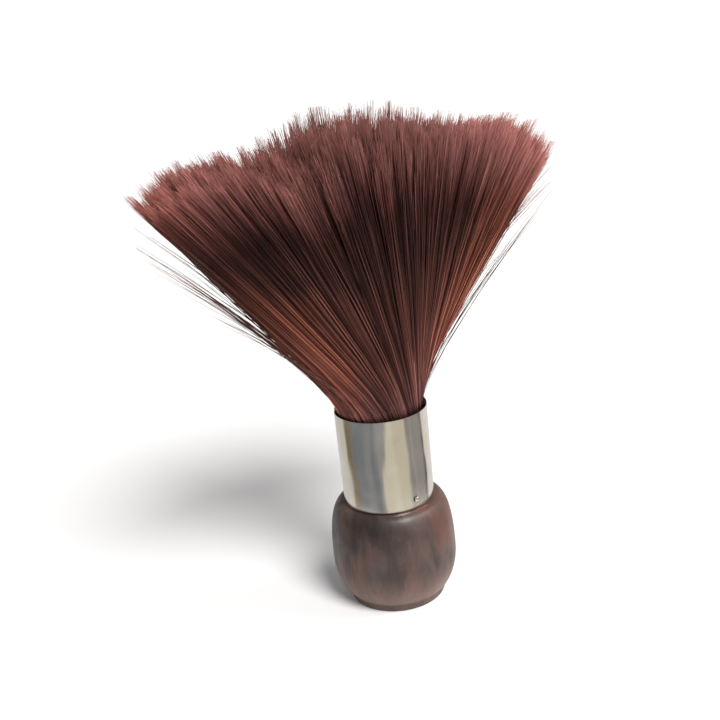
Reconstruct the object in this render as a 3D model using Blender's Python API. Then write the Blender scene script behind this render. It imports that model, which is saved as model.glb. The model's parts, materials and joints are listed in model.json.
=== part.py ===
"""Neck duster brush: a turned wooden handle, a plated ferrule and a wide fan of nylon filament.

Z is up, the handle's flat foot rests on the origin, and the fan spreads along X.
All lengths are in metres.
"""
import math

import bmesh
import bpy
from mathutils import Matrix, Vector

# Ferrule: a thin plated tube, a little wider at its rim
RIM_RADIUS = 0.0145
BASE_RADIUS = 0.01435
FERRULE_LENGTH = 0.0302
FERRULE_WALL = 0.0006

# Handle: a turned bulb on a short straight foot, with a tenon inside the ferrule
FOOT_RADIUS = 0.0153
FOOT_BAND = 0.0018
FOOT_CHAMFER = 0.0003
BELLY_SWELL = 0.00555
BELLY_HEIGHT = 0.0146
SHOULDER_HEIGHT = 0.0334
SHOULDER_STEP = 0.0005
SHOULDER_FULLNESS = 2.4
LOWER_TURN = math.radians(62)
TENON_LENGTH = 0.0145
TENON_CHAMFER = 0.0008

# Brads that hold the ferrule to the tenon
BRAD_COUNT = 2
BRAD_HEIGHT = 0.0029
BRAD_ANGLE = math.radians(13)
BRAD_SHANK_RADIUS = 0.0005
BRAD_SHANK_LENGTH = 0.0062
BRAD_HEAD_RADIUS = 0.0010
BRAD_HEAD_RISE = 0.00045
BRAD_DOME = ((0.50, 0.90), (0.85, 0.50))

# Knot: filament butts tied together and set in resin above the tenon
RESIN_DEPTH = 0.0068
RESIN_FLOOR = 0.0016
RESIN_WALL = 0.0020
TIE_WIDTH = 0.0018
TIE_THICKNESS = 0.0010

# Fan: rays that meet at one point inside the ferrule
FREE_LENGTH = 0.0885
FAN_HALF_ANGLE = math.radians(35.5)
FAN_EDGE_GAIN = 0.0120
FAN_CROWN = 0.0026
TIP_HALF_THICKNESS = 0.0210
END_ROUNDING = 2.6
END_SHARE = 0.90
LOCK_COUNT = 9
LOCK_GAP_ANGLE = math.radians(1.40)
MOUTH_SWELL = 0.0027

# Clearances
GAP = 0.0003
BALL_GAP = 0.0006
EDGE_RAY_INSET = 0.0008

# Smoothness of the round pieces and of the locks
TURNED_STEPS = 72
INNER_STEPS = 36
SMALL_STEPS = 20
ARC_STEPS = 9
LIP_STEPS = 6
SHOULDER_STEPS = 14
LOCK_WIDTH_STEPS = 4
LOCK_DEPTH_STEPS = 8
LOCK_LENGTH_STEPS = 8
HALVINGS = 40

# Colours of the filament, alternate locks a little paler
FILAMENT_COLOUR = (0.160, 0.055, 0.047)
ROOT_COLOUR = (0.085, 0.032, 0.030)
PALE_LOCK = 1.12


def ferrule_radius(height):
    """Outer radius of the ferrule's taper at a height."""
    share = (height - FERRULE_FOOT) / FERRULE_LENGTH
    return BASE_RADIUS + (RIM_RADIUS - BASE_RADIUS) * share


def bore_fit(height):
    """Radius of what fits inside the ferrule at a height, with its clearance."""
    return ferrule_radius(height) - FERRULE_WALL - GAP


# Heights and radii worked out from the values above
FERRULE_FOOT = SHOULDER_HEIGHT + GAP
RIM_HEIGHT = FERRULE_FOOT + FERRULE_LENGTH
SHOULDER_RADIUS = BASE_RADIUS + SHOULDER_STEP
BELLY_RADIUS = BASE_RADIUS + BELLY_SWELL
TENON_TOP = SHOULDER_HEIGHT + TENON_LENGTH
RESIN_BASE = TENON_TOP + GAP
RESIN_TOP = RESIN_BASE + RESIN_DEPTH
TIE_TOP = RESIN_TOP + GAP + TIE_WIDTH
NECK_TOP = TIE_TOP + GAP
BUTT_RADIUS = min(bore_fit(RESIN_BASE), bore_fit(NECK_TOP)) - RESIN_WALL - GAP
BUTT_BASE = RESIN_BASE + RESIN_FLOOR + GAP
MOUTH_RADIUS = bore_fit(RIM_HEIGHT)
RAY_DEPTH = (MOUTH_RADIUS - EDGE_RAY_INSET) / math.tan(FAN_HALF_ANGLE)
FAN_RADIUS = RAY_DEPTH + FREE_LENGTH
RAY_POINT = Vector((0.0, 0.0, RIM_HEIGHT - RAY_DEPTH))
MOUTH_CENTRE = Vector((0.0, 0.0, RIM_HEIGHT))
MOUTH_BALL_RADIUS = RIM_RADIUS + MOUTH_SWELL


def clear_scene():
    for obj in list(bpy.data.objects):
        bpy.data.objects.remove(obj, do_unlink=True)


def principled(name, colour, roughness, metallic=0.0):
    material = bpy.data.materials.new(name)
    material.use_nodes = True
    shader = material.node_tree.nodes["Principled BSDF"]
    shader.inputs["Base Color"].default_value = (*colour, 1.0)
    shader.inputs["Roughness"].default_value = roughness
    shader.inputs["Metallic"].default_value = metallic
    return material


def new_object(name, bm, material, smooth_angle=math.radians(35)):
    """Close the working mesh into a named object with its own material."""
    bmesh.ops.recalc_face_normals(bm, faces=bm.faces)
    mesh = bpy.data.meshes.new(name)
    bm.to_mesh(mesh)
    bm.free()
    mesh.materials.append(material)
    mesh.shade_smooth()
    mesh.set_sharp_from_angle(angle=smooth_angle)
    obj = bpy.data.objects.new(name, mesh)
    bpy.context.scene.collection.objects.link(obj)
    return obj


def turned(name, profile, material, steps=TURNED_STEPS, closed=False):
    """Spin a profile of (radius, height) points about Z into a closed body."""
    bm = bmesh.new()
    verts = [bm.verts.new((radius, 0.0, height)) for radius, height in profile]
    edges = [bm.edges.new(pair) for pair in zip(verts, verts[1:])]
    if closed:
        edges.append(bm.edges.new((verts[-1], verts[0])))
    bmesh.ops.spin(
        bm,
        geom=verts + edges,
        cent=(0.0, 0.0, 0.0),
        axis=(0.0, 0.0, 1.0),
        angle=math.tau,
        steps=steps,
        use_merge=True,
    )
    bmesh.ops.remove_doubles(bm, verts=bm.verts, dist=1e-6)
    return new_object(name, bm, material)


def arc(radius_centre, height_centre, radius, start, end, steps=ARC_STEPS):
    """Points along a circle in the (radius, height) plane, angles in degrees."""
    points = []
    for step in range(steps + 1):
        angle = math.radians(start + (end - start) * step / steps)
        points.append(
            (
                radius_centre + radius * math.cos(angle),
                height_centre + radius * math.sin(angle),
            )
        )
    return points


def part_oval(belly, end_radius, from_height, to_height, turn, steps=ARC_STEPS):
    """Part of an oval that leaves the belly upright and turns in to end_radius."""
    points = []
    for step in range(1, steps + 1):
        angle = turn * step / steps
        sink = (1.0 - math.cos(angle)) / (1.0 - math.cos(turn))
        reach = math.sin(angle) / math.sin(turn)
        radius = belly + (end_radius - belly) * sink
        points.append((radius, from_height + (to_height - from_height) * reach))
    return points


def cylinder_cutter(name, radius, start, end, steps=SMALL_STEPS):
    """A hidden rod between two points, used only to cut a hole."""
    bm = bmesh.new()
    axis = end - start
    bmesh.ops.create_cone(
        bm,
        cap_ends=True,
        segments=steps,
        radius1=radius,
        radius2=radius,
        depth=axis.length,
    )
    turn = Vector((0.0, 0.0, 1.0)).rotation_difference(axis.normalized()).to_matrix().to_4x4()
    bmesh.ops.transform(bm, matrix=Matrix.Translation((start + end) / 2) @ turn, verts=bm.verts)
    cutter = new_object(name, bm, None)
    cutter.hide_render = True
    cutter.display_type = "WIRE"
    return cutter


def cut(obj, cutter):
    boolean = obj.modifiers.new("cut_" + cutter.name, "BOOLEAN")
    boolean.operation = "DIFFERENCE"
    boolean.solver = "EXACT"
    boolean.object = cutter


def brad_direction(index):
    """Outward direction of a brad; the brads are spaced evenly round the ferrule."""
    angle = BRAD_ANGLE + math.tau * index / BRAD_COUNT
    return Vector((math.sin(angle), -math.cos(angle), 0.0))


def make_handle(material):
    profile = [(0.0, 0.0), (FOOT_RADIUS - FOOT_CHAMFER, 0.0), (FOOT_RADIUS, FOOT_CHAMFER)]
    lower = part_oval(BELLY_RADIUS, FOOT_RADIUS, BELLY_HEIGHT, FOOT_BAND, LOWER_TURN)
    profile += list(reversed(lower))
    profile.append((BELLY_RADIUS, BELLY_HEIGHT))
    power = 2.0 / SHOULDER_FULLNESS
    for step in range(1, SHOULDER_STEPS + 1):
        angle = 0.5 * math.pi * step / SHOULDER_STEPS
        out = max(0.0, math.cos(angle)) ** power
        up = math.sin(angle) ** power
        radius = SHOULDER_RADIUS + (BELLY_RADIUS - SHOULDER_RADIUS) * out
        profile.append((radius, BELLY_HEIGHT + (SHOULDER_HEIGHT - BELLY_HEIGHT) * up))
    profile += [
        (bore_fit(SHOULDER_HEIGHT), SHOULDER_HEIGHT),
        (bore_fit(TENON_TOP), TENON_TOP - TENON_CHAMFER),
        (bore_fit(TENON_TOP) - TENON_CHAMFER, TENON_TOP),
        (0.0, TENON_TOP),
    ]
    return turned("handle", profile, material)


def make_ferrule(material):
    half_wall = FERRULE_WALL / 2
    profile = arc(BASE_RADIUS - half_wall, FERRULE_FOOT + half_wall, half_wall, 180, 360, LIP_STEPS)
    profile += arc(RIM_RADIUS - half_wall, RIM_HEIGHT - half_wall, half_wall, 0, 180, LIP_STEPS)
    return turned("ferrule", profile, material, closed=True)


def make_brad(index, material):
    """A nail with a domed head, lying along its own direction through the ferrule's wall."""
    height = FERRULE_FOOT + BRAD_HEIGHT
    head_base = ferrule_radius(height) + GAP
    profile = [(0.0, head_base + BRAD_HEAD_RISE)]
    for out, rise in BRAD_DOME:
        profile.append((BRAD_HEAD_RADIUS * out, head_base + BRAD_HEAD_RISE * rise))
    profile += [
        (BRAD_HEAD_RADIUS, head_base),
        (BRAD_SHANK_RADIUS, head_base),
        (BRAD_SHANK_RADIUS, head_base - BRAD_SHANK_LENGTH + BRAD_SHANK_RADIUS * 2),
        (0.0, head_base - BRAD_SHANK_LENGTH),
    ]
    brad = turned("ferrule_brad_%d" % (index + 1), profile, material, SMALL_STEPS)
    outward = brad_direction(index)
    brad.rotation_mode = "QUATERNION"
    brad.rotation_quaternion = Vector((0.0, 0.0, 1.0)).rotation_difference(outward)
    brad.location = (0.0, 0.0, height)
    return brad


def drill_for_brads(handle, ferrule):
    height = Vector((0.0, 0.0, FERRULE_FOOT + BRAD_HEIGHT))
    reach = ferrule_radius(height.z)
    hole_radius = BRAD_SHANK_RADIUS + GAP
    for index in range(BRAD_COUNT):
        outward = brad_direction(index)
        inner = height + outward * (reach - BRAD_SHANK_LENGTH - GAP)
        outer = height + outward * (reach + FERRULE_WALL)
        cutter = cylinder_cutter("brad_drill_%d" % (index + 1), hole_radius, inner, outer)
        cut(handle, cutter)
        cut(ferrule, cutter)


def make_resin_cup(material):
    """Set resin: a floor on the tenon and a wall round the tied filament butts."""
    bore = BUTT_RADIUS + GAP
    profile = [
        (0.0, RESIN_BASE),
        (bore_fit(RESIN_BASE), RESIN_BASE),
        (bore_fit(RESIN_TOP), RESIN_TOP),
        (bore, RESIN_TOP),
        (bore, RESIN_BASE + RESIN_FLOOR),
        (0.0, RESIN_BASE + RESIN_FLOOR),
    ]
    return turned("resin_cup", profile, material, steps=INNER_STEPS)


def make_knot_tie(material):
    """A wound tie just above the resin, round the filament butts."""
    inner = BUTT_RADIUS + GAP
    middle = RESIN_TOP + GAP + TIE_WIDTH / 2
    profile = []
    for step in range(ARC_STEPS + 1):
        angle = math.pi * (step / ARC_STEPS - 0.5)
        radius = inner + TIE_THICKNESS * math.cos(angle)
        profile.append((radius, middle + TIE_WIDTH / 2 * math.sin(angle)))
    return turned("knot_tie", profile, material, steps=INNER_STEPS, closed=True)


def make_root_bundle(material):
    """The packed filaments from their butts to a rounded top in the ferrule's mouth."""
    ball = MOUTH_BALL_RADIUS - BALL_GAP
    edge_angle = math.degrees(math.acos(MOUTH_RADIUS / ball))
    flare_top = NECK_TOP + bore_fit(NECK_TOP) - BUTT_RADIUS
    profile = [
        (0.0, BUTT_BASE),
        (BUTT_RADIUS, BUTT_BASE),
        (BUTT_RADIUS, NECK_TOP),
        (bore_fit(flare_top), flare_top),
        (MOUTH_RADIUS, RIM_HEIGHT),
    ]
    profile += arc(0.0, RIM_HEIGHT, ball, edge_angle, 90)[:-1]
    profile.append((0.0, RIM_HEIGHT + ball))
    return turned("root_bundle", profile, material, steps=INNER_STEPS)


def half_thickness(angle, distance):
    """Half of the fan's thickness on a ray, at a distance from the ray point."""
    rise = (distance - RAY_DEPTH) / FREE_LENGTH
    middle = MOUTH_RADIUS + (TIP_HALF_THICKNESS - MOUTH_RADIUS) * rise
    share = END_SHARE * abs(angle) / FAN_HALF_ANGLE
    return middle * (1.0 - share**END_ROUNDING) ** (1.0 / END_ROUNDING)


def fan_point(angle, depth, distance):
    """A point in the fan: depth runs from -1 at the front face to 1 at the back."""
    ray = Vector((math.sin(angle), 0.0, math.cos(angle)))
    point = RAY_POINT + ray * distance
    point.y = depth * half_thickness(angle, distance)
    return point


def crest_distance(angle, depth):
    return FAN_RADIUS + FAN_EDGE_GAIN * angle**2 - FAN_CROWN * depth**2


def ball_distance(angle, depth):
    """Distance along a ray at which it leaves the ball round the mouth's centre."""
    low, high = 0.0, FAN_RADIUS
    for _ in range(HALVINGS):
        middle = (low + high) / 2
        inside = (fan_point(angle, depth, middle) - MOUTH_CENTRE).length < MOUTH_BALL_RADIUS
        low, high = (middle, high) if inside else (low, middle)
    return high


def make_lock(index, material):
    """One wedge of the fan, drawn out of its rounded root face in even steps."""
    width = 2 * FAN_HALF_ANGLE / LOCK_COUNT
    middle = (index - (LOCK_COUNT - 1) / 2) * width
    reach = (width - LOCK_GAP_ANGLE) / 2
    bm = bmesh.new()
    angle_of = bm.verts.layers.float.new("angle")
    depth_of = bm.verts.layers.float.new("depth")
    grid = []
    for column in range(LOCK_WIDTH_STEPS + 1):
        grid.append([])
        for step in range(LOCK_DEPTH_STEPS + 1):
            angle = middle + reach * (2 * column / LOCK_WIDTH_STEPS - 1)
            depth = math.sin(0.5 * math.pi * (2 * step / LOCK_DEPTH_STEPS - 1))
            vert = bm.verts.new(fan_point(angle, depth, ball_distance(angle, depth)))
            vert[angle_of] = angle
            vert[depth_of] = depth
            grid[-1].append(vert)
    cap = []
    for left, right in zip(grid, grid[1:]):
        for step in range(LOCK_DEPTH_STEPS):
            cap.append(bm.faces.new((left[step], left[step + 1], right[step + 1], right[step])))
    for station in range(1, LOCK_LENGTH_STEPS + 1):
        share = station / LOCK_LENGTH_STEPS
        sides = list({edge for face in cap for edge in face.edges})
        grown = bmesh.ops.extrude_face_region(bm, geom=cap + sides)["geom"]
        cap = [item for item in grown if isinstance(item, bmesh.types.BMFace)]
        for vert in (item for item in grown if isinstance(item, bmesh.types.BMVert)):
            angle, depth = vert[angle_of], vert[depth_of]
            start = ball_distance(angle, depth)
            distance = start + (crest_distance(angle, depth) - start) * share
            vert.co = fan_point(angle, depth, distance)
    obj = new_object("bristle_lock_%d" % (index + 1), bm, material)
    pivot = bpy.data.objects.new("lock_pivot_%d" % (index + 1), None)
    pivot.location = MOUTH_CENTRE
    pivot.rotation_euler = (0.0, middle, 0.0)
    bpy.context.scene.collection.objects.link(pivot)
    obj.data.transform(Matrix.Rotation(-middle, 4, "Y") @ Matrix.Translation(-MOUTH_CENTRE))
    obj.parent = pivot
    return obj


def main():
    clear_scene()
    handle = make_handle(principled("walnut", (0.115, 0.062, 0.046), 0.32))
    ferrule = make_ferrule(principled("nickel", (0.74, 0.71, 0.65), 0.16, 1.0))
    for index in range(BRAD_COUNT):
        make_brad(index, principled("brad_nickel_%d" % (index + 1), (0.80, 0.78, 0.74), 0.22, 1.0))
    drill_for_brads(handle, ferrule)
    make_resin_cup(principled("resin", (0.36, 0.24, 0.10), 0.25))
    make_knot_tie(principled("waxed_thread", (0.20, 0.15, 0.11), 0.70))
    make_root_bundle(principled("filament_root", ROOT_COLOUR, 0.45))
    for index in range(LOCK_COUNT):
        shade = PALE_LOCK if index % 2 else 1.0
        colour = [shade * part for part in FILAMENT_COLOUR]
        make_lock(index, principled("filament_%d" % (index + 1), colour, 0.42))


main()
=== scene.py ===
import json
import math

import bpy
import numpy as np
from mathutils import Matrix, Vector


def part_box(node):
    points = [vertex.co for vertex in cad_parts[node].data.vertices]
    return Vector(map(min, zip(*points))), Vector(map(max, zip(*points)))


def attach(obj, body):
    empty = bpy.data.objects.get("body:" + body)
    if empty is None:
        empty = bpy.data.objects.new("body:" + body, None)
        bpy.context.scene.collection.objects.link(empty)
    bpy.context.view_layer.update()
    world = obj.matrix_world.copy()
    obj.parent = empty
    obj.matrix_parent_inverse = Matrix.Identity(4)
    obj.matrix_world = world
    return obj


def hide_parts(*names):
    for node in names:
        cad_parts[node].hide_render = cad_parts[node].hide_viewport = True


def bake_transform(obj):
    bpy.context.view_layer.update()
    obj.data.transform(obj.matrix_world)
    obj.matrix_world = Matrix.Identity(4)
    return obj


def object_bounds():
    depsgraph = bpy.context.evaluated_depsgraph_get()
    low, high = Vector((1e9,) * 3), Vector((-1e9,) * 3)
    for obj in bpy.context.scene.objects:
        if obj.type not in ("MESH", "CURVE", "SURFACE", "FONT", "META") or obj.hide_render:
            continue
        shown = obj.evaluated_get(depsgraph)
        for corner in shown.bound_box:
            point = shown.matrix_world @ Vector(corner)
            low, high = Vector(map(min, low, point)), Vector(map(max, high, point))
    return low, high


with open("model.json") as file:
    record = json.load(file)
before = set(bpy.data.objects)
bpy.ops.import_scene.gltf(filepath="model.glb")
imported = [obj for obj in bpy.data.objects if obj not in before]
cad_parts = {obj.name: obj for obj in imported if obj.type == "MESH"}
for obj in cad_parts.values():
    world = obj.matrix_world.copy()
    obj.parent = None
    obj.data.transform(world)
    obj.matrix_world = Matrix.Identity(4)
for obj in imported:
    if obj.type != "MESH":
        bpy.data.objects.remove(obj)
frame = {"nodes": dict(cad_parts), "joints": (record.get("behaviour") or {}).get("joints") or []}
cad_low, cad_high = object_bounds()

# ---------------------------------------------------------------- places, from the frame

ferrule_low, ferrule_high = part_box("ferrule")
_, handle_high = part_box("handle")
_, lock_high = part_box("bristle_lock_5")

RIM_HEIGHT = ferrule_high.z
FERRULE_FOOT = ferrule_low.z
RIM_RADIUS = ferrule_high.x
CREST_HEIGHT = lock_high.z
TIP_HALF_THICKNESS = lock_high.y
FAN_HALF_WIDTH = cad_high.x
BASE_BODY = "handle_and_ferrule"
LOCK_COUNT = sum(joint["name"].startswith("lock_") for joint in frame["joints"])

# ---------------------------------------------------------------- camera and light

CAMERA_TURN = math.radians(-22.0)
CAMERA_DISTANCE = 0.3236
CAMERA_ELEVATION = math.radians(26.1)
CAMERA_PAN = math.radians(0.92)
CAMERA_TILT = math.radians(8.02)
CAMERA_ROLL = math.radians(6.16)
AIM_HEIGHT = 0.0319
LENS = 50.0


def camera_frame():
    """Camera place and axes: turned round the brush, then panned, tilted and rolled."""
    out = Vector((0.0, -math.cos(CAMERA_ELEVATION), math.sin(CAMERA_ELEVATION)))
    place = out * CAMERA_DISTANCE + Vector((0.0, 0.0, AIM_HEIGHT))
    ahead = -out
    side = Vector((1.0, 0.0, 0.0))
    pan = Matrix.Rotation(CAMERA_PAN, 3, "Z")
    ahead, side = pan @ ahead, pan @ side
    ahead = Matrix.Rotation(CAMERA_TILT, 3, side) @ ahead
    side = Matrix.Rotation(CAMERA_ROLL, 3, ahead) @ side
    turn = Matrix.Rotation(CAMERA_TURN, 3, "Z")
    return turn @ place, turn @ ahead, turn @ side


def make_camera():
    place, ahead, side = camera_frame()
    up = side.cross(ahead)
    data = bpy.data.cameras.new("camera")
    data.lens = LENS
    data.clip_start = 0.01
    camera = bpy.data.objects.new("camera", data)
    bpy.context.scene.collection.objects.link(camera)
    axes = Matrix((side, up, -ahead)).transposed()
    camera.matrix_world = Matrix.Translation(place) @ axes.to_4x4()
    bpy.context.scene.camera = camera


def lamp(name, kind, bearing, elevation, distance, strength, colour):
    """A lamp that looks at the brush; bearing is measured from the camera, to its right."""
    angle = CAMERA_TURN + math.radians(bearing)
    rise = math.radians(elevation)
    out = Vector((math.sin(angle) * math.cos(rise), -math.cos(angle) * math.cos(rise), math.sin(rise)))
    data = bpy.data.lights.new(name, kind)
    data.energy = strength
    data.color = colour
    light = bpy.data.objects.new(name, data)
    bpy.context.scene.collection.objects.link(light)
    place = Vector((0.0, 0.0, 0.08)) + out * distance
    light.matrix_world = Matrix.Translation(place) @ out.to_track_quat("Z", "Y").to_matrix().to_4x4()
    light.visible_camera = False
    return data


def make_lights():
    world = bpy.data.worlds.new("studio")
    bpy.context.scene.world = world
    world.use_nodes = True
    sky = world.node_tree.nodes["Background"]
    sky.inputs["Color"].default_value = (0.97, 0.98, 1.0, 1.0)
    sky.inputs["Strength"].default_value = 0.33
    key = lamp("key", "SUN", 32, 47, 1.0, 3.55, (1.0, 0.985, 0.96))
    key.angle = math.radians(27)
    side = lamp("side", "AREA", 88, 24, 0.55, 1.6, (1.0, 0.95, 0.90))
    side.size = 0.30
    bpy.context.scene.view_settings.view_transform = "Standard"


# ---------------------------------------------------------------- shader maths


class Wire:
    """One output of a shader node. Its operators add Math nodes; add() puts in any other node."""

    def __init__(self, tree, socket=None):
        self.tree = tree
        self.socket = socket

    def add(self, kind, settings=None, values=None, out=0):
        node = self.tree.nodes.new(kind)
        for name, value in (settings or {}).items():
            if name == "stops":
                ramp_stops(node.color_ramp, value)
            else:
                setattr(node, name, value)
        for name, value in (values or {}).items():
            if isinstance(value, Wire):
                self.tree.links.new(value.socket, node.inputs[name])
            else:
                node.inputs[name].default_value = value
        return Wire(self.tree, node.outputs[out])

    def maths(self, operation, first, second=0.0):
        return self.add("ShaderNodeMath", {"operation": operation}, {0: first, 1: second})

    def __add__(self, other):
        return self.maths("ADD", self, other)

    __radd__ = __add__

    def __sub__(self, other):
        return self.maths("SUBTRACT", self, other)

    def __rsub__(self, other):
        return self.maths("SUBTRACT", other, self)

    def __mul__(self, other):
        return self.maths("MULTIPLY", self, other)

    __rmul__ = __mul__

    def ramp(self, *stops):
        """Colour of this value, from (position, colour) stops."""
        return self.add("ShaderNodeValToRGB", {"stops": stops}, {"Fac": self})

    def span(self, low, high, first=0.0, last=1.0):
        """Smooth step from first to last as this value goes from low to high."""
        return self.add(
            "ShaderNodeMapRange",
            {"interpolation_type": "SMOOTHSTEP"},
            {0: self, 1: low, 2: high, 3: first, 4: last},
        )

    def mix(self, first, second):
        """Mix two colours by this value."""
        return self.add("ShaderNodeMix", {"data_type": "RGBA"}, {0: self, 6: first, 7: second}, out=2)

    def tint(self, other):
        """Multiply this colour by another colour or value."""
        settings = {"data_type": "RGBA", "blend_type": "MULTIPLY"}
        return self.add("ShaderNodeMix", settings, {0: 1.0, 6: self, 7: other}, out=2)


def ramp_stops(ramp, stops):
    """Give a colour ramp its stops in place of its own two."""
    while len(ramp.elements) > 1:
        ramp.elements.remove(ramp.elements[-1])
    for place, (position, colour) in enumerate(stops):
        if place:
            element = ramp.elements.new(position)
        else:
            element = ramp.elements[0]
            element.position = position
        element.color = colour if len(colour) == 4 else (*colour, 1.0)


def hue(code):
    """Linear colour of a hexadecimal display colour."""
    channels = [int(code[place:place + 2], 16) / 255 for place in (0, 2, 4)]
    linear = [c / 12.92 if c <= 0.04045 else ((c + 0.055) / 1.055) ** 2.4 for c in channels]
    return (*linear, 1.0)


def new_material(name):
    """An empty material with its Principled shader: returns (material, start wire, shader)."""
    material = bpy.data.materials.new(name)
    material.use_nodes = True
    tree = material.node_tree
    shader = tree.nodes["Principled BSDF"]
    return material, Wire(tree), shader


def feed(wire, shader, **inputs):
    """Link or set the shader's sockets, each named with underscores for its spaces."""
    for name, value in inputs.items():
        socket = shader.inputs[name.replace("_", " ")]
        if isinstance(value, Wire):
            wire.tree.links.new(value.socket, socket)
        else:
            socket.default_value = value


def own_coordinates(wire, scale=(1, 1, 1), turn=(0, 0, 0)):
    """The piece's own coordinates, scaled and turned."""
    place = wire.add("ShaderNodeTexCoord", out=3)
    return wire.add("ShaderNodeMapping", None, {"Vector": place, "Scale": scale, "Rotation": turn})


def noise(wire, place, scale, detail=3.0, roughness=0.5, distortion=0.0):
    values = {
        "Vector": place,
        "Scale": scale,
        "Detail": detail,
        "Roughness": roughness,
        "Distortion": distortion,
    }
    return wire.add("ShaderNodeTexNoise", None, values)


# ---------------------------------------------------------------- materials

WOOD_TURN = 2.3
FLOOR_GLOW_HEIGHT = 0.016
FOOT_EDGE_HEIGHT = 0.0045


def walnut_material():
    """Dark lacquered walnut: streaked along the turning axis, red in patches, paler low down as painted
    light from the floor.
    """
    material, wire, shader = new_material("walnut")
    tilted = own_coordinates(wire, (1.0, 1.0, 0.26), (0.20, 0.28, 0.0))
    streak = noise(wire, tilted, 200.0, 4.0, 0.55, 0.8)
    fine = noise(wire, own_coordinates(wire, (1.0, 1.0, 0.06), (0.10, 0.16, 0.0)), 1900.0, 3.0)
    figure = own_coordinates(wire, (1.0, 1.0, 0.7), (0.3, 0.1, WOOD_TURN))
    patch = noise(wire, figure, 58.0, 2.5, 0.5, 0.6)
    base = (streak * 0.45 + patch * 0.55).ramp(
        (0.34, hue("241918")),
        (0.46, hue("382926")),
        (0.56, hue("4a3a36")),
        (0.70, hue("5f4c45")),
    )
    red = patch.span(0.52, 0.66)
    warm = (red * 0.6).mix(base, hue("5c3325"))
    height = wire.add("ShaderNodeSeparateXYZ", None, {"Vector": own_coordinates(wire)}, out=2)
    # Painted light: the bulb is paler low down, standing for the floor's bounce, and less so at the very
    # foot edge
    painted_floor_glow = height.span(0.003, FLOOR_GLOW_HEIGHT, 0.5, 0.0) * height.span(0.0, FOOT_EDGE_HEIGHT, 0.25, 1.0)
    with_floor_glow = painted_floor_glow.mix(warm, hue("8c6b60"))
    pores = fine.span(0.58, 0.72)
    feed(
        wire,
        shader,
        Base_Color=(pores * 0.42).mix(with_floor_glow, hue("140c0a")),
        Roughness=streak.span(0.3, 0.7, 0.56, 0.46),
        Specular_IOR_Level=0.45,
        Coat_Weight=0.12,
        Coat_Roughness=0.22,
        Normal=wire.add("ShaderNodeBump", None, {"Strength": 0.08, "Distance": 0.0002, "Height": fine}),
    )
    return material


def nickel_material():
    """Polished nickel plate over drawn tube, faintly uneven, with fine draw lines."""
    material, wire, shader = new_material("nickel")
    place = own_coordinates(wire)
    cloud = noise(wire, place, 90.0, 3.0)
    waver = noise(wire, own_coordinates(wire, (1.0, 1.0, 0.35)), 130.0, 2.0)
    lines = noise(wire, own_coordinates(wire, (1.0, 1.0, 0.02)), 5200.0, 2.0)
    height = waver * 0.8 + lines * 0.03
    feed(
        wire,
        shader,
        Base_Color=cloud.ramp((0.3, hue("d6d0c5")), (0.7, hue("e4dfd6"))),
        Metallic=1.0,
        Roughness=cloud.span(0.3, 0.7, 0.10, 0.19),
        Normal=wire.add("ShaderNodeBump", None, {"Strength": 0.18, "Distance": 0.0008, "Height": height}),
    )
    return material


def filament_material():
    """Dark red nylon: each filament has its own tone, darkest past its middle as painted shade under the
    crown and palest at its tip as painted light through the thin ends.
    """
    material, wire, shader = new_material("filament")
    along = wire.add("ShaderNodeAttribute", {"attribute_name": "along"}, out=2)
    tone = wire.add("ShaderNodeAttribute", {"attribute_name": "tone"}, out=2)
    light = wire.add("ShaderNodeAttribute", {"attribute_name": "light"}, out=2)
    # Painted light and shade along each filament: lighter near the root, dark past the middle where the
    # crown shades it, pale at the tip
    body = along.ramp(
        (0.00, hue("79504d")),
        (0.20, hue("7c4d44")),
        (0.42, hue("693f37")),
        (0.62, hue("4c2d27")),
        (0.78, hue("4f2b25")),
        (0.90, hue("764640")),
        (1.00, hue("a46a62")),
    )
    # Painted glow: an amber tint where the painted light table is bright, for light coming through the
    # thin edges
    painted_amber_glow = light.span(1.1, 1.7, 0.0, 0.34).mix(body, hue("8f5038"))
    even = along.span(0.70, 1.0, 0.0, 0.55)
    spread = tone + (0.42 - tone) * even
    shade = spread.ramp((0.0, (0.17, 0.15, 0.15)), (0.40, (0.75, 0.72, 0.74)), (1.0, (2.5, 2.55, 2.6)))
    feed(
        wire,
        shader,
        Base_Color=painted_amber_glow.tint(shade).tint(light),
        Roughness=tone.span(0.0, 1.0, 0.55, 0.42),
        Specular_IOR_Level=0.14,
    )
    return material


def plain_grained(name, dark, pale, scale, roughness):
    """A quiet two-tone material for what stays hidden or in deep shade."""
    material, wire, shader = new_material(name)
    grain = noise(wire, own_coordinates(wire), scale, 4.0)
    feed(
        wire,
        shader,
        Base_Color=grain.ramp((0.35, hue(dark)), (0.65, hue(pale))),
        Roughness=roughness,
        Normal=wire.add("ShaderNodeBump", None, {"Strength": 0.3, "Distance": 0.0003, "Height": grain}),
    )
    return material


BACKDROP_STRENGTH = 1.05


def floor_material():
    material, wire, shader = new_material("pale_floor")
    feed(wire, shader, Base_Color=(0.9, 0.9, 0.9, 1.0), Roughness=0.9, Specular_IOR_Level=0.0)
    return material


def backdrop_material():
    material, wire, shader = new_material("lit_backdrop")
    white = (1.0, 1.0, 1.0, 1.0)
    black = (0.0, 0.0, 0.0, 1.0)
    feed(
        wire,
        shader,
        Base_Color=black,
        Specular_IOR_Level=0.0,
        Emission_Color=white,
        Emission_Strength=BACKDROP_STRENGTH,
    )
    return material


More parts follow.
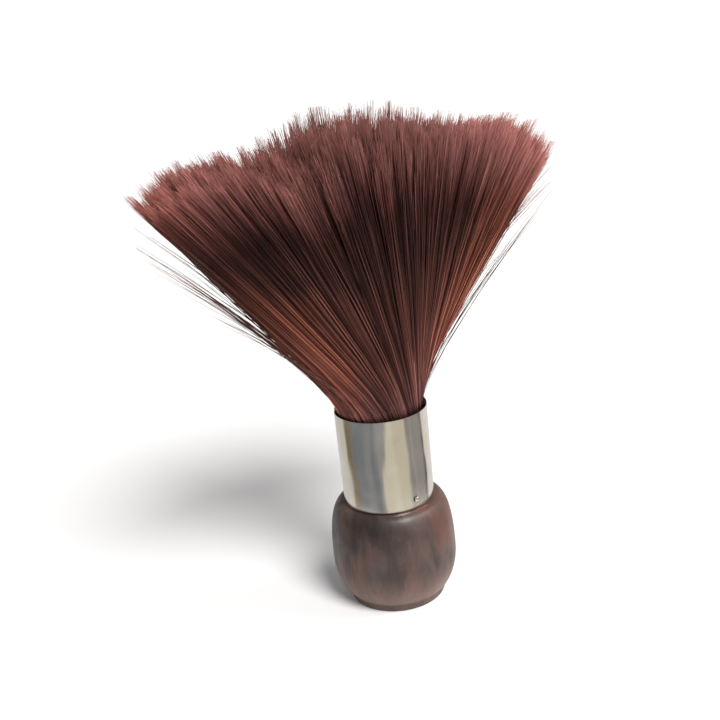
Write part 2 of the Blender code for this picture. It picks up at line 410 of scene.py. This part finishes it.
def reflector_material():
    """Bright and dark panels round the brush, as the polished metal sees them."""
    material, wire, shader = new_material("studio_panels")
    place = own_coordinates(wire, turn=(0.0, 0.0, math.pi / 2 - CAMERA_TURN))
    radial = wire.add("ShaderNodeTexGradient", {"gradient_type": "RADIAL"}, {"Vector": place}, out=1)
    waver = noise(wire, own_coordinates(wire), 24.0, 3.0)
    panels = (radial + (waver - 0.5) * 0.20).ramp(*panel_stops())
    black = (0.0, 0.0, 0.0, 1.0)
    feed(
        wire,
        shader,
        Base_Color=black,
        Specular_IOR_Level=0.0,
        Emission_Color=panels,
        Emission_Strength=1.0,
    )
    return material


def panel_stops():
    """Panel colours by bearing from the camera, in degrees to its right, each with soft edges."""
    panels = [
        (-97, (0.67, 0.66, 0.63)),
        (-75, (0.24, 0.20, 0.13)),
        (-48, (0.22, 0.24, 0.27)),
        (-36, (0.28, 0.29, 0.31)),
        (-20, (0.21, 0.23, 0.26)),
        (-5, (0.34, 0.35, 0.36)),
        (20, (0.74, 0.70, 0.60)),
        (45, (0.66, 0.62, 0.52)),
        (66, (0.31, 0.30, 0.29)),
        (70, (0.42, 0.41, 0.40)),
        (97, (0.33, 0.32, 0.31)),
        (108, (0.07, 0.07, 0.07)),
        (180, (0.86, 0.82, 0.80)),
    ]
    soft = 2.5
    stops = []
    start = -180 - soft
    for end, colour in panels:
        stops.append((max(0.0, (start + soft) / 360 + 0.5), colour))
        stops.append((min(1.0, (end - soft) / 360 + 0.5), colour))
        start = end
    return stops


# ---------------------------------------------------------------- turned pieces


CREASE_ANGLE = math.radians(38)


def deselect_all():
    if bpy.context.object and bpy.context.object.mode != "OBJECT":
        bpy.ops.object.mode_set(mode="OBJECT")
    bpy.ops.object.select_all(action="DESELECT")


def turned_piece(name, profile, material, sides=144, close=True):
    """Draw a disc up through the rings of a (radius, height) profile, as on a lathe."""
    deselect_all()
    first_radius, first_height = profile[0]
    bpy.ops.mesh.primitive_circle_add(
        vertices=sides,
        radius=first_radius,
        fill_type="NGON" if close else "NOTHING",
        location=(0.0, 0.0, 0.0),
    )
    piece = bpy.context.object
    piece.name = name
    bpy.ops.object.mode_set(mode="EDIT")
    bpy.ops.mesh.select_all(action="SELECT")
    bpy.ops.transform.translate(value=(0.0, 0.0, first_height))
    extrude = bpy.ops.mesh.extrude_region_move if close else bpy.ops.mesh.extrude_edges_move
    last_radius, last_height = first_radius, first_height
    for radius, height in profile[1:]:
        extrude(TRANSFORM_OT_translate={"value": (0.0, 0.0, height - last_height)})
        grow = radius / last_radius
        bpy.ops.transform.resize(value=(grow, grow, 1.0))
        last_radius, last_height = radius, height
    bpy.ops.mesh.select_all(action="SELECT")
    bpy.ops.mesh.normals_make_consistent(inside=False)
    bpy.ops.object.mode_set(mode="OBJECT")
    piece.data.materials.append(material)
    bpy.ops.object.shade_smooth_by_angle(angle=CREASE_ANGLE)
    return piece


def finish_piece(piece, body, slot, *nodes):
    """Put a piece on its body and let it stand for its CAD nodes; the slot argument is not used."""
    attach(piece, body)
    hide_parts(*nodes)


def oval_rings(belly, end_radius, from_height, to_height, turn, count):
    """Rings of part of an oval, upright at the belly and turning in to end_radius."""
    rings = []
    for step in range(1, count + 1):
        angle = turn * step / count
        sink = (1 - math.cos(angle)) / (1 - math.cos(turn))
        reach = math.sin(angle) / math.sin(turn)
        height = from_height + (to_height - from_height) * reach
        rings.append((belly + (end_radius - belly) * sink, height))
    return rings


BELLY_HEIGHT = 0.0146
BELLY_RADIUS = handle_high.x
FOOT_RADIUS = 0.0153
FOOT_BAND = 0.0018
LOWER_TURN = math.radians(62)
SHOULDER_RADIUS = 0.01485
SHOULDER_FULLNESS = 2.4
SHOULDER_HEIGHT = FERRULE_FOOT - 0.0003
FOOT_ROUND = 0.0003
LOWER_STEPS = 20
SHOULDER_STEPS = 32
TENON_RADIUS = RIM_RADIUS - 0.0011
TENON_CHAMFER = 0.0008


def make_handle(material):
    """The bulb, its softened foot, and its rounded shoulder under the ferrule."""
    rings = [(FOOT_RADIUS - FOOT_ROUND, 0.0), (FOOT_RADIUS - 0.0001, 0.0001), (FOOT_RADIUS, FOOT_ROUND)]
    lower = oval_rings(BELLY_RADIUS, FOOT_RADIUS, BELLY_HEIGHT, FOOT_BAND, LOWER_TURN, LOWER_STEPS)
    rings += lower[::-1]
    rings.append((BELLY_RADIUS, BELLY_HEIGHT))
    power = 2 / SHOULDER_FULLNESS
    for step in range(1, SHOULDER_STEPS + 1):
        angle = 0.5 * math.pi * step / SHOULDER_STEPS
        out = max(0.0, math.cos(angle)) ** power
        up = math.sin(angle) ** power
        radius = SHOULDER_RADIUS + (BELLY_RADIUS - SHOULDER_RADIUS) * out
        rings.append((radius, BELLY_HEIGHT + (SHOULDER_HEIGHT - BELLY_HEIGHT) * up))
    rings += [(TENON_RADIUS, SHOULDER_HEIGHT + 0.0001), (TENON_RADIUS, handle_high.z - TENON_CHAMFER)]
    rings.append((TENON_RADIUS - TENON_CHAMFER, handle_high.z))
    piece = turned_piece("walnut_handle", rings, material)
    finish_piece(piece, BASE_BODY, "walnut", "handle")


FERRULE_WALL = 0.0006
FERRULE_FLARE = 0.00015
FERRULE_STEPS = 24
SHARP_EDGE = 0.00005
LIP_GRIND = 0.0009


def make_ferrule(material):
    """Drawn tube, square at its foot, with a lip ground away to a thin edge on its inside."""
    foot_radius = RIM_RADIUS - FERRULE_FLARE
    rings = [(foot_radius - SHARP_EDGE, FERRULE_FOOT), (foot_radius, FERRULE_FOOT + SHARP_EDGE)]
    for step in range(1, FERRULE_STEPS + 1):
        height = FERRULE_FOOT + SHARP_EDGE + (RIM_HEIGHT - FERRULE_FOOT - 0.0004) * step / FERRULE_STEPS
        rings.append((foot_radius + (RIM_RADIUS - foot_radius) * step / FERRULE_STEPS, height))
    rings += [(RIM_RADIUS, RIM_HEIGHT - 0.00003), (RIM_RADIUS - 0.00004, RIM_HEIGHT)]
    rings.append((RIM_RADIUS - FERRULE_WALL, RIM_HEIGHT - LIP_GRIND))
    rings.append((RIM_RADIUS - FERRULE_WALL, RIM_HEIGHT - 0.012))
    rings.append((foot_radius - FERRULE_WALL, FERRULE_FOOT))
    piece = turned_piece("nickel_ferrule", rings, material, close=False)
    deselect_all()
    piece.select_set(True)
    bpy.context.view_layer.objects.active = piece
    bpy.ops.object.mode_set(mode="EDIT")
    bpy.ops.mesh.select_all(action="DESELECT")
    bpy.ops.mesh.select_non_manifold()
    bpy.ops.mesh.bridge_edge_loops()
    bpy.ops.mesh.select_all(action="SELECT")
    bpy.ops.mesh.normals_make_consistent(inside=False)
    bpy.ops.object.mode_set(mode="OBJECT")
    finish_piece(piece, BASE_BODY, "nickel", "ferrule")


# ---------------------------------------------------------------- filaments

FAN_HALF_ANGLE = math.radians(35.5)
RAY_DEPTH = (RIM_RADIUS - 0.0017) / math.tan(FAN_HALF_ANGLE)
RAY_HEIGHT = RIM_HEIGHT - RAY_DEPTH
FAN_RADIUS = CREST_HEIGHT - RAY_HEIGHT
FREE_LENGTH = CREST_HEIGHT - RIM_HEIGHT
EDGE_GAIN = 0.0120
CROWN = 0.0026
MOUTH_RADIUS = 0.0131
ROOT_SINK = 0.0015
TWIST = math.radians(38)
END_POWER = 3.0
STATIONS = np.array([0.0, 0.06, 0.15, 0.30, 0.55, 0.80, 1.0])
FLARE_REACH = 0.010
FLARE_START = 0.35
SIDES = 3
FILAMENT_RADIUS = 0.000150
RADIUS_ALONG = np.array([0.62, 0.75, 0.95, 1.0, 1.0, 0.86, 0.30])
GOLDEN_ANGLE = 2.399963
# Gaps across the fan count this many times as much as gaps through it
FAN_ASPECT = (2.9, 1.0)

CLUMPS_PER_LOCK = 36
STRANDS_PER_LOCK = 420
FILAMENTS_PER_LOCK = 4500
CLUMP_PULL = 0.28
STRAND_PULL = 0.66
# Each filament falls short of its clump's middle and of its strand's, so both come to a point
EVEN_LENGTH = 0.994
CLUMP_TAPER = 0.20
STRAND_TAPER = 0.80
# Where the crest is ragged, most strands are cut short and a few stand up as spikes
RAGGED_ACROSS = (-0.62, -0.45, 0.20, 0.40)
RAGGED_SHARE = (0.2, 1.0, 1.0, 0.2)
SPIKE_LENGTH = 0.095
RAGGED_CUT = 0.046
LONGEST = 1.040
SHORTEST = 0.7
SEED = 7

STRAYS_PER_WISP = 5
STRAY_WISPS = 8
STRAY_FINENESS = 0.65

# How bright the fan looks at each height (rows) and from its left edge to its right (columns):
# light comes through the thin edges and the tips, and the dense middle stays dark
LIGHT_ACROSS = (-1.0, -0.75, -0.3, 0.3, 0.75, 1.0)
LIGHT_ALONG = (0.0, 0.28, 0.55, 0.85, 1.0)
LIGHT = np.array(
    [
        [1.25, 1.20, 0.80, 0.72, 0.75, 0.90],
        [2.40, 2.30, 0.48, 0.50, 1.70, 1.80],
        [1.90, 1.60, 0.86, 0.64, 1.80, 2.00],
        [1.25, 0.24, 0.52, 0.68, 1.35, 1.50],
        [1.60, 1.25, 0.76, 0.72, 1.15, 1.25],
    ]
)
# How far each part of the crest stands above an even curve, from the left edge to the right
TRIM = (
    (-1.00, 0.020),
    (-0.75, 0.032),
    (-0.40, -0.030),
    (-0.30, 0.014),
    (-0.15, 0.027),
    (0.20, 0.018),
    (0.55, 0.003),
    (0.75, 0.040),
    (1.00, -0.025),
)


def to_cross_section(u, v):
    """Move points of the unit disc out to a blunt-ended oval of the same unit size."""
    polar = np.arctan2(v, u)
    power = END_POWER
    reach = (np.abs(np.cos(polar)) ** power + np.abs(np.sin(polar)) ** power) ** (-1 / power)
    return u * reach, v * reach


def tip_places(u, v, length):
    """Where filaments end: u runs across the fan, v through it, length scales the free length."""
    across, depth = to_cross_section(u, v)
    angle = across * FAN_HALF_ANGLE
    far = FAN_RADIUS + EDGE_GAIN * angle**2 - CROWN * depth**2
    reach = RAY_DEPTH + (far - RAY_DEPTH) * length
    rise = np.minimum((reach - RAY_DEPTH) / (FAN_RADIUS - RAY_DEPTH), 1.0)
    half = MOUTH_RADIUS + (TIP_HALF_THICKNESS - MOUTH_RADIUS) * rise
    return np.stack([reach * np.sin(angle), half * depth, RAY_HEIGHT + reach * np.cos(angle)], -1)


def root_places(u, v):
    """Where filaments leave the knot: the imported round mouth, turned against the fan."""
    cos, sin = math.cos(TWIST), math.sin(TWIST)
    x = (u * cos - v * sin) * MOUTH_RADIUS
    y = (u * sin + v * cos) * MOUTH_RADIUS
    return np.stack([x, y, np.full_like(x, RIM_HEIGHT - ROOT_SINK)], -1)


def flare(height):
    """Sideways run of a filament at a height above its root: slow at first, then even."""
    return height - FLARE_REACH * (1 - FLARE_START) * (1 - np.exp(-height / FLARE_REACH))


def filament_paths(root, tip, rng, wander):
    """Points along each filament: upright at the root, then flaring out to its tip."""
    rise = (tip[:, 2] - root[:, 2])[:, None] * STATIONS
    share = flare(rise) / flare(rise[:, -1:])
    paths = root[:, None, :] + (tip - root)[:, None, :] * share[:, :, None]
    paths[:, :, 2] = root[:, None, 2] + rise
    bow = np.sin(math.pi * STATIONS)[None, :, None] * rng.normal(0, wander, (len(root), 1, 2))
    flick = (STATIONS**3)[None, :, None] * rng.normal(0, wander * 1.3, (len(root), 1, 2))
    paths[:, :, :2] += bow + flick
    return paths


def filament_radius(rng, count):
    """Radius at each station: even along the shaft, drawn out to a fine tip."""
    return FILAMENT_RADIUS * rng.uniform(0.85, 1.15, (count, 1)) * RADIUS_ALONG


def filament_mesh(name, paths, radius, tone, light, material):
    """One mesh of many three-sided filaments, each closed at both ends."""
    count, rings = paths.shape[:2]
    chord = paths[:, -1] - paths[:, 0]
    chord /= np.linalg.norm(chord, axis=1, keepdims=True)
    first = np.cross(chord, np.array([0.0, 1.0, 0.0]))
    first /= np.linalg.norm(first, axis=1, keepdims=True)
    second = np.cross(chord, first)
    angles = np.arange(SIDES) * math.tau / SIDES
    spin = (np.arange(count) * GOLDEN_ANGLE) % math.tau
    turn = angles[None, :] + spin[:, None]
    ring = np.cos(turn)[:, :, None] * first[:, None, :] + np.sin(turn)[:, :, None] * second[:, None, :]
    points = paths[:, :, None, :] + radius[:, :, None, None] * ring[:, None, :, :]
    points = points.reshape(-1, 3)

    corner = np.arange(count * rings * SIDES).reshape(count, rings, SIDES)
    after = np.roll(corner, -1, axis=2)
    quads = np.stack([corner[:, :-1], after[:, :-1], after[:, 1:], corner[:, 1:]], -1).reshape(-1, 4)
    caps = np.concatenate([corner[:, 0, ::-1], corner[:, -1, :]])
    loops = np.concatenate([quads.ravel(), caps.ravel()])
    sizes = np.concatenate([np.full(len(quads), 4), np.full(len(caps), 3)])

    mesh = bpy.data.meshes.new(name)
    mesh.vertices.add(len(points))
    mesh.vertices.foreach_set("co", points.astype(np.float32).ravel())
    mesh.loops.add(len(loops))
    mesh.loops.foreach_set("vertex_index", loops.astype(np.int32))
    mesh.polygons.add(len(sizes))
    starts = np.concatenate([[0], np.cumsum(sizes)[:-1]])
    mesh.polygons.foreach_set("loop_start", starts.astype(np.int32))
    mesh.update(calc_edges=True)
    mesh.validate()

    along = np.broadcast_to(STATIONS[None, :, None], (count, rings, SIDES))
    for key, values in (
        ("along", along),
        ("tone", np.broadcast_to(tone[:, None, None], along.shape)),
        ("light", np.broadcast_to(light[:, :, None], along.shape)),
    ):
        attribute = mesh.attributes.new(key, "FLOAT", "POINT")
        attribute.data.foreach_set("value", values.astype(np.float32).ravel())

    column = np.arange(count)[:, None, None]
    side = np.arange(SIDES)[None, None, :]
    level = np.arange(rings - 1)[None, :, None]
    left = (column + side / SIDES) / count + 0 * level
    right = (column + (side + 1) / SIDES) / count + 0 * level
    low = STATIONS[level] + 0.0 * column + 0 * side
    high = STATIONS[level + 1] + 0.0 * column + 0 * side
    quad_uv = np.stack([left, low, right, low, right, high, left, high], -1).reshape(-1, 2)
    spots = np.stack([(np.arange(count) + k / SIDES) / count for k in range(SIDES)], -1)
    root_uv = np.stack([spots, np.zeros_like(spots)], -1).reshape(-1, 2)
    tip_uv = np.stack([spots, np.ones_like(spots)], -1).reshape(-1, 2)
    uv = mesh.uv_layers.new(name="OFBake")
    uv.uv.foreach_set("vector", np.concatenate([quad_uv, root_uv, tip_uv]).astype(np.float32).ravel())

    mesh.materials.append(material)
    mesh.shade_smooth()
    piece = bpy.data.objects.new(name, mesh)
    bpy.context.scene.collection.objects.link(piece)
    return piece


def nearest(places, centres):
    """For each place, its nearest centre and the distance to it, in half thicknesses of the fan."""
    gaps = np.linalg.norm((places[:, None, :] - centres[None, :, :]) * FAN_ASPECT, axis=2)
    mine = np.argmin(gaps, axis=1)
    return mine, gaps[np.arange(len(places)), mine]


def lock_paths(rng, low, high):
    """Filaments of one lock, drawn together into strands and the strands into clumps."""
    places = lock_seeds(rng, low, high, FILAMENTS_PER_LOCK)
    strands = lock_seeds(rng, low, high, STRANDS_PER_LOCK)
    clumps = lock_seeds(rng, low, high, CLUMPS_PER_LOCK)
    strand, strand_gap = nearest(places, strands)
    clump_of_strand, _ = nearest(strands, clumps)
    clump = clump_of_strand[strand]
    clump_gap = np.linalg.norm((places - clumps[clump]) * FAN_ASPECT, axis=1)

    pull = (rng.uniform(0.5, 1.5, CLUMPS_PER_LOCK) * CLUMP_PULL)[clump][:, None]
    in_clump = places + (clumps[clump] - places) * pull
    strand_in_clump = strands[strand] + (clumps[clump] - strands[strand]) * pull
    in_strand = in_clump + (strand_in_clump - in_clump) * STRAND_PULL

    across, _ = to_cross_section(places[:, 0], places[:, 1])
    trim = np.interp(across, *zip(*TRIM))
    length = EVEN_LENGTH + trim - CLUMP_TAPER * clump_gap - STRAND_TAPER * strand_gap
    length += rng.normal(0, 0.010, CLUMPS_PER_LOCK)[clump]
    length += rng.normal(0, 0.016, STRANDS_PER_LOCK)[strand]
    ragged = np.interp(across, RAGGED_ACROSS, RAGGED_SHARE)
    length += ragged * (SPIKE_LENGTH * rng.uniform(0, 1, STRANDS_PER_LOCK)[strand] ** 4 - RAGGED_CUT)
    length -= rng.exponential(0.012, len(places))
    length = np.clip(length, SHORTEST, np.minimum(1.0 + trim + 0.015 * ragged, LONGEST))

    root = root_places(places[:, 0], places[:, 1])
    free_tip = tip_places(places[:, 0], places[:, 1], length)
    clump_tip = tip_places(in_clump[:, 0], in_clump[:, 1], length)
    strand_tip = tip_places(in_strand[:, 0], in_strand[:, 1], length)
    paths = filament_paths(root, free_tip, rng, 0.00055)
    paths += (clump_tip - free_tip)[:, None, :] * (STATIONS**1.3)[None, :, None]
    paths += (strand_tip - clump_tip)[:, None, :] * (STATIONS**2.6)[None, :, None]
    tone = 0.06 * rng.uniform(0, 1, CLUMPS_PER_LOCK)[clump]
    tone += 0.40 * rng.uniform(0, 1, STRANDS_PER_LOCK)[strand] ** 2
    tone += 0.54 * rng.uniform(0, 1, len(places)) ** 2
    return paths, filament_radius(rng, len(places)), tone, lightness(paths)


def lightness(paths):
    """Brightness of each filament at each station, read from the table at its place in the fan."""
    spread = flare(STATIONS * FREE_LENGTH) / flare(FREE_LENGTH)
    edge = MOUTH_RADIUS + (FAN_HALF_WIDTH - MOUTH_RADIUS) * spread
    across = paths[:, :, 0] / edge
    column = np.interp(across, LIGHT_ACROSS, np.arange(len(LIGHT_ACROSS)))
    row = np.broadcast_to(np.interp(STATIONS, LIGHT_ALONG, np.arange(len(LIGHT_ALONG))), column.shape)
    left = np.clip(column.astype(int), 0, len(LIGHT_ACROSS) - 2)
    low = np.clip(row.astype(int), 0, len(LIGHT_ALONG) - 2)
    right_share, high_share = column - left, row - low
    lower = LIGHT[low, left] * (1 - right_share) + LIGHT[low, left + 1] * right_share
    upper = LIGHT[low + 1, left] * (1 - right_share) + LIGHT[low + 1, left + 1] * right_share
    return lower * (1 - high_share) + upper * high_share


def make_locks(material):
    """The locks of clumped filaments, each drawn as one mesh that stands for its CAD lock."""
    rng = np.random.default_rng(SEED)
    for index in range(LOCK_COUNT):
        low = 2 * index / LOCK_COUNT - 1
        high = 2 * (index + 1) / LOCK_COUNT - 1
        paths, radius, tone, light = lock_paths(rng, low, high)
        if index in (0, LOCK_COUNT - 1):
            strays, thin = stray_paths(rng, -1 if index == 0 else 1)
            paths = np.concatenate([paths, strays])
            radius = np.concatenate([radius, thin])
            tone = np.concatenate([tone, rng.uniform(0.05, 0.6, len(strays))])
            light = np.concatenate([light, np.ones((len(strays), len(STATIONS)))])
        piece = filament_mesh("filaments_%d" % (index + 1), paths, radius, tone, light, material)
        middle = (index - (LOCK_COUNT - 1) / 2) * 2 * FAN_HALF_ANGLE / LOCK_COUNT
        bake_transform(piece)
        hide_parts("bristle_lock_%d" % (index + 1))


def stray_paths(rng, side):
    """Loose filaments in a few wisps that follow one edge of the fan and then leave it."""
    count = STRAYS_PER_WISP * STRAY_WISPS
    wisp = np.arange(count) % STRAY_WISPS
    turn = (rng.uniform(-0.3, 0.3, STRAY_WISPS)[wisp] + rng.normal(0, 0.04, count)) * math.pi
    root = root_places(side * np.cos(turn) * 0.97, np.sin(turn) * 0.97)
    angle = side * FAN_HALF_ANGLE * np.ones(count)
    drift = side * np.radians(rng.uniform(0.8, 5.0, STRAY_WISPS)[wisp] + rng.normal(0, 0.5, count))
    share = rng.uniform(0.62, 1.0, STRAY_WISPS)[wisp] * rng.uniform(0.88, 1.0, count)
    depth = rng.uniform(-0.8, 0.8, STRAY_WISPS)[wisp] * MOUTH_RADIUS + rng.normal(0, 0.0006, count)
    tips = []
    for direction in (angle, angle + drift):
        reach = RAY_DEPTH + (FAN_RADIUS + EDGE_GAIN * angle**2 - RAY_DEPTH) * share
        reach = np.minimum(reach, FAN_HALF_WIDTH * 1.02 / np.abs(np.sin(direction)))
        height = RAY_HEIGHT + reach * np.cos(direction)
        tips.append(np.stack([reach * np.sin(direction), depth, height], -1))
    paths = filament_paths(root, tips[0], rng, 0.0003)
    paths += (tips[1] - tips[0])[:, None, :] * (STATIONS**2)[None, :, None]
    return paths, filament_radius(rng, count) * STRAY_FINENESS


def lock_seeds(rng, low, high, count):
    """Random points of the unit disc whose place across the fan lies between low and high."""
    found = np.zeros((0, 2))
    while len(found) < count:
        tries = rng.uniform(-1, 1, (count * 20, 2))
        tries = tries[(tries**2).sum(1) <= 1.0]
        across, _ = to_cross_section(tries[:, 0], tries[:, 1])
        found = np.concatenate([found, tries[(across >= low) & (across < high)]])
    return found[:count]


ROOT_RADIUS = 0.0128
ROOT_CORE_RADIUS = 0.0110
ROOT_DOME = 0.012
ROOT_STEPS = 8


def make_root_mass(material):
    """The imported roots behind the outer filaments, domed above the ferrule's mouth."""
    rings = [(ROOT_CORE_RADIUS, 0.0500), (ROOT_CORE_RADIUS, 0.0580)]
    rings += [(ROOT_RADIUS, 0.0600), (ROOT_RADIUS, RIM_HEIGHT)]
    for step in range(1, ROOT_STEPS + 1):
        angle = 0.5 * math.pi * step / (ROOT_STEPS + 0.5)
        rings.append((ROOT_RADIUS * math.cos(angle), RIM_HEIGHT + ROOT_DOME * math.sin(angle)))
    piece = turned_piece("root_mass", rings, material, sides=72)
    finish_piece(piece, BASE_BODY, "filament", "root_bundle")


# ---------------------------------------------------------------- everything


FLOOR_RADIUS = 3.2
FLOOR_HEIGHT = -0.0002
BACKDROP_RADIUS = 3.1
BACKDROP_DEPTH = 3.0
BACKDROP_MIDDLE = 1.49
PANEL_RADIUS = 0.075
PANEL_DEPTH = 0.055
PANEL_MIDDLE = 0.0278


def stage_wall(name, radius, depth, middle, material):
    """An open upright cylinder round the brush."""
    bpy.ops.mesh.primitive_cylinder_add(
        vertices=96, radius=radius, depth=depth, end_fill_type="NOTHING", location=(0.0, 0.0, middle)
    )
    wall = bpy.context.object
    wall.name = name
    wall.data.materials.append(material)
    return wall


def make_stage():
    """A white floor with a lit backdrop all round, and panels that only reflections see."""
    deselect_all()
    bpy.ops.mesh.primitive_circle_add(
        vertices=96, radius=FLOOR_RADIUS, fill_type="NGON", location=(0.0, 0.0, FLOOR_HEIGHT)
    )
    floor = bpy.context.object
    floor.name = "floor"
    floor.data.materials.append(floor_material())
    backdrop = stage_wall(
        "backdrop", BACKDROP_RADIUS, BACKDROP_DEPTH, BACKDROP_MIDDLE, backdrop_material()
    )
    backdrop.visible_diffuse = False
    backdrop.visible_glossy = False
    backdrop.visible_shadow = False
    panels = stage_wall(
        "reflected_panels", PANEL_RADIUS, PANEL_DEPTH, PANEL_MIDDLE, reflector_material()
    )
    panels.visible_camera = False
    panels.visible_diffuse = False
    panels.visible_shadow = False
    panels.visible_transmission = False


def repaint(node, material):
    """Give a CAD node that stays in view its own finish."""
    mesh = frame["nodes"][node].data
    mesh.materials.clear()
    mesh.materials.append(material)


make_camera()
make_lights()
make_stage()
make_handle(walnut_material())
nickel = nickel_material()
make_ferrule(nickel)
for number in (1, 2):
    repaint("ferrule_brad_%d" % number, nickel)
repaint("resin_cup", plain_grained("resin", "4a2f14", "6b4a22", 400.0, 0.3))
repaint("knot_tie", plain_grained("waxed_thread", "3a2c22", "5a4636", 3000.0, 0.7))
# The root mass takes a much darker copy of the filament colour: painted shade inside the ferrule's mouth
make_root_mass(plain_grained("root_filament_painted_shade", "2a1716", "3d2322", 2500.0, 0.6))
make_locks(filament_material())
